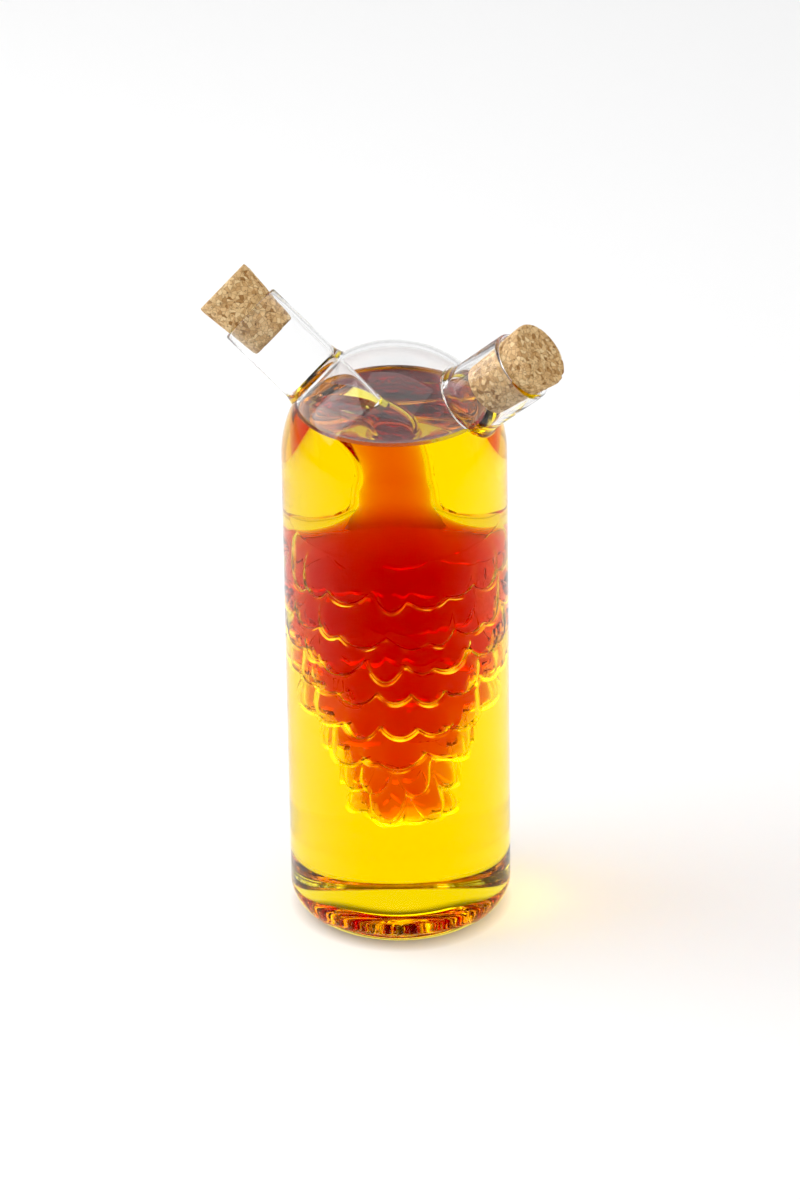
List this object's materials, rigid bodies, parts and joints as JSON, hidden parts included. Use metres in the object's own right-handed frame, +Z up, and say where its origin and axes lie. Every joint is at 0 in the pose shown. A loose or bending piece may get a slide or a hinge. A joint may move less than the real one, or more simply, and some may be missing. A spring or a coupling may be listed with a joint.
{
  "type": "oil and vinegar bottle",
  "caption": "Clear domed glass bottle with opposed corked spouts, yellow oil in the body and red vinegar in an inner vessel shaped like a bunch of grapes.",
  "frame": {"origin": "middle of the flat underside, on the axis of the round body", "axes": "+Z up along the body's axis; +X towards the oil spout, -X towards the vinegar spout"},
  "size_m": [0.1084, 0.065, 0.1975],
  "materials": {
    "clear_glass": "clear, fire-polished",
    "oil": "clear yellow liquid",
    "vinegar": "clear deep red liquid",
    "cork": "pressed cork granules, matt"
  },
  "bodies": {
    "root": {"bottle_glass": "clear_glass", "oil": "oil", "vinegar": "vinegar", "oil_cork": "cork", "vinegar_cork": "cork"}
  },
  "joints": []
}
